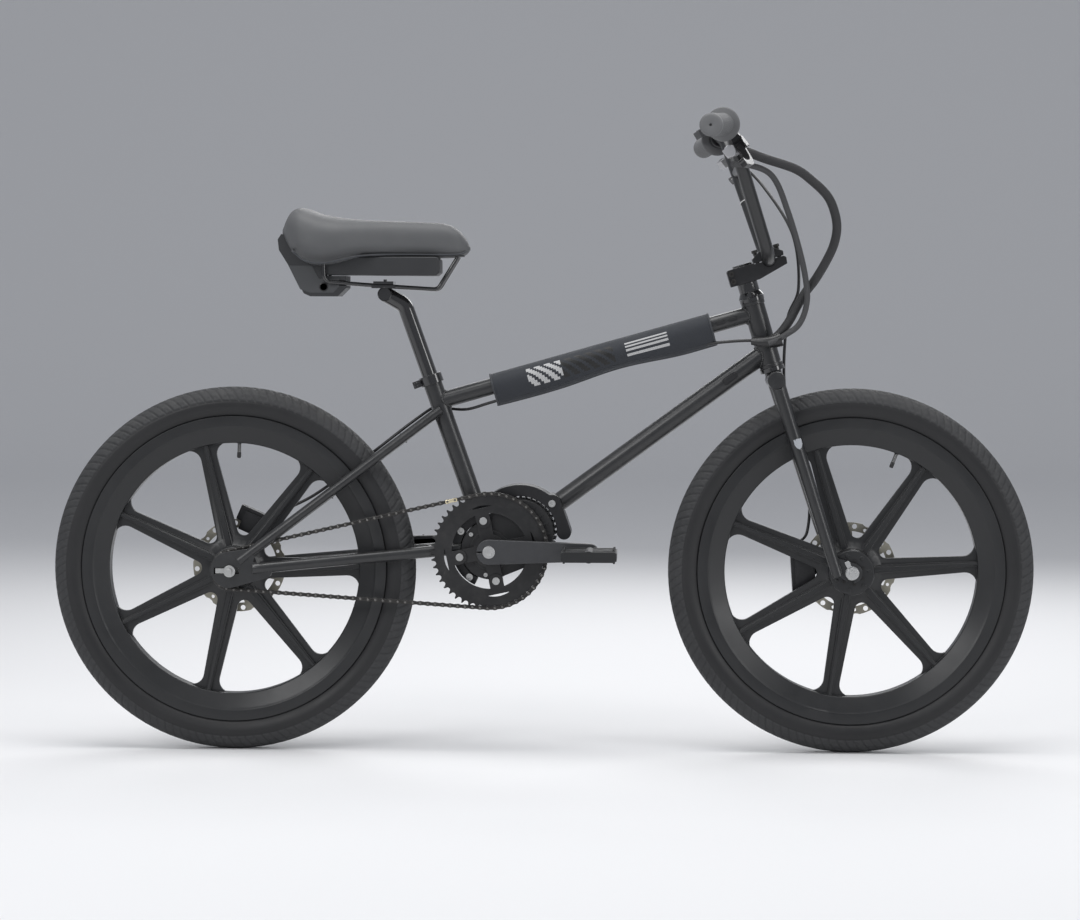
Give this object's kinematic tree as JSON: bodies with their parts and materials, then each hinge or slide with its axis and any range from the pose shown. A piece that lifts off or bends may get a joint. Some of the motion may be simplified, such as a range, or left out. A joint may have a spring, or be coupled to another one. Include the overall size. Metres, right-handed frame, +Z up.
{
  "type": "bmx bike",
  "caption": "Cruiser BMX bike with a mid motor in a bolted cradle, moulded spoked wheels, disc brakes, a tall handlebar, a padded top tube and a saddle over a battery.",
  "frame": {"origin": "on the ground, midway between the axles, in the bike's middle plane", "axes": "+X forward, +Y to the rider's left, +Z up"},
  "size_m": [1.6699, 0.7468, 1.0832],
  "materials": {
    "frame_paint": "satin black paint",
    "machined_black": "anodised black, machined",
    "motor_cast": "black cast housing",
    "bright_steel": "plain bright steel",
    "forged_crank": "forged, satin black",
    "ring_black": "satin black plate",
    "chain_steel": "dark oiled steel",
    "rotor_steel": "warm grey brushed steel",
    "pad_material": "sintered pad on a steel plate",
    "pedal_plastic": "black nylon with steel pins",
    "tyre_rubber": "dark rubber",
    "moulded_nylon": "moulded black nylon",
    "gloss_black": "gloss black",
    "saddle_skin": "grey moulded saddle skin",
    "case_plastic": "dark grey plastic",
    "button_plastic": "grey rubber keys",
    "grip_rubber": "grey rubber",
    "lever_alloy": "satin black alloy",
    "silver_alloy": "satin silver and black alloy",
    "hose_rubber": "black hose",
    "braided_sleeve": "braided sleeve",
    "pad_fabric": "woven dark blue-grey fabric"
  },
  "bodies": {
    "frame": {"head_tube": "frame_paint", "top_tube": "frame_paint", "down_tube": "frame_paint", "seat_tube": "frame_paint", "chainstays": "frame_paint", "seatstays": "frame_paint", "rear_dropouts": "frame_paint", "motor_cradle": "machined_black", "motor_housing": "motor_cast", "gear_case": "motor_cast", "motor_hardware": "bright_steel", "headset_cups": "machined_black", "seat_collar": "machined_black", "rear_axle_set": "bright_steel", "rear_caliper": "machined_black", "rear_brake_hose": "hose_rubber", "top_tube_pad": "pad_fabric", "chain": "chain_steel", "cable_looms": "braided_sleeve"},
    "saddle_post": {"seatpost": "gloss_black", "saddle_clamp": "gloss_black", "saddle_rails": "gloss_black", "saddle_cushion": "saddle_skin", "saddle_base": "case_plastic", "battery_case": "case_plastic", "tail_housing": "case_plastic"},
    "fork_and_bar": {"fork_crown": "frame_paint", "fork_legs": "frame_paint", "stem": "machined_black", "stem_cap": "machined_black", "cockpit_bolts": "bright_steel", "headset_spacers": "machined_black", "handlebar": "frame_paint", "grips": "grip_rubber", "lever_clamps": "silver_alloy", "display_unit": "case_plastic", "front_axle_set": "bright_steel", "front_caliper": "machined_black", "front_brake_hose": "hose_rubber"},
    "front_wheel": {"front_tyre": "tyre_rubber", "front_mag_wheel": "moulded_nylon", "front_rotor": "rotor_steel", "front_bearings_valve": "bright_steel"},
    "rear_wheel": {"rear_tyre": "tyre_rubber", "rear_mag_wheel": "moulded_nylon", "rear_rotor": "rotor_steel", "rear_bearings_valve": "bright_steel"},
    "sprocket": {"freewheel_cog": "chain_steel"},
    "crankset": {"chainring": "ring_black", "crank_arms": "forged_crank", "crank_spindle": "bright_steel", "pedal_axles": "bright_steel"},
    "right_pedal": {"pedal_right": "pedal_plastic"},
    "left_pedal": {"pedal_left": "pedal_plastic"},
    "right_lever": {"brake_lever_right": "lever_alloy"},
    "left_lever": {"brake_lever_left": "lever_alloy"},
    "button_up": {"display_button_up": "button_plastic"},
    "button_down": {"display_button_down": "button_plastic"},
    "front_pad": {"front_brake_pad": "pad_material"},
    "rear_pad": {"rear_brake_pad": "pad_material"}
  },
  "joints": [
    {"name": "steering", "type": "hinge", "parent": "frame", "child": "fork_and_bar", "pos_m": [0.49163, 0, 0.31], "axis": [-0.284, 0, 0.9588], "range_deg": [-60, 60], "deforming": ["cable_looms"]},
    {"name": "seatpost_slide", "type": "slide", "parent": "frame", "child": "saddle_post", "axis": [-0.3355, 0, 0.9421], "range_m": [-0.06, 0.06]},
    {"name": "front_wheel_spin", "type": "hinge", "parent": "fork_and_bar", "child": "front_wheel", "pos_m": [0.525, 0, 0.31], "axis": [0, 1, 0], "continuous": true},
    {"name": "rear_wheel_spin", "type": "hinge", "parent": "frame", "child": "rear_wheel", "pos_m": [-0.525, 0, 0.31], "axis": [0, 1, 0], "continuous": true},
    {"name": "crank_spin", "type": "hinge", "parent": "frame", "child": "crankset", "pos_m": [-0.08662, 0, 0.3445], "axis": [0, 1, 0], "continuous": true, "deforming": ["chain"]},
    {"name": "sprocket_spin", "type": "hinge", "parent": "frame", "child": "sprocket", "pos_m": [-0.525, 0, 0.31], "axis": [0, 1, 0], "continuous": true},
    {"name": "right_pedal_spin", "type": "hinge", "parent": "crankset", "child": "right_pedal", "pos_m": [0.08338, -0.136, 0.3445], "axis": [0, 1, 0], "continuous": true},
    {"name": "left_pedal_spin", "type": "hinge", "parent": "crankset", "child": "left_pedal", "pos_m": [-0.25662, 0.136, 0.3445], "axis": [0, 1, 0], "continuous": true},
    {"name": "right_lever_pull", "type": "hinge", "parent": "fork_and_bar", "child": "right_lever", "pos_m": [0.32921, -0.23739, 1.01668], "axis": [-0.7709, 0.1738, -0.6128], "range_deg": [0, 20], "stiffness_Nm_per_rad": 0.4, "springref_deg": -11.46},
    {"name": "left_lever_pull", "type": "hinge", "parent": "fork_and_bar", "child": "left_lever", "pos_m": [0.32921, 0.23739, 1.01668], "axis": [0.7709, 0.1738, 0.6128], "range_deg": [0, 20], "stiffness_Nm_per_rad": 0.4, "springref_deg": -11.46},
    {"name": "up_button_press", "type": "slide", "parent": "fork_and_bar", "child": "button_up", "axis": [0.5023, 0.0337, -0.864], "range_m": [0, 0.0008], "stiffness_N_per_m": 400},
    {"name": "down_button_press", "type": "slide", "parent": "fork_and_bar", "child": "button_down", "axis": [0.5023, 0.0337, -0.864], "range_m": [0, 0.0008], "stiffness_N_per_m": 400},
    {"name": "front_pad_slide", "type": "slide", "parent": "fork_and_bar", "child": "front_pad", "axis": [0, -1, 0], "range_m": [0, 0.000602]},
    {"name": "rear_pad_slide", "type": "slide", "parent": "frame", "child": "rear_pad", "axis": [0, -1, 0], "range_m": [0, 0.000602]}
  ],
  "couplings": [
    {"joint": "sprocket_spin", "follows": "crank_spin", "ratio": 3},
    {"joint": "front_pad_slide", "follows": "left_lever_pull", "m_per_rad": 0.001719},
    {"joint": "rear_pad_slide", "follows": "right_lever_pull", "m_per_rad": 0.001719}
  ]
}
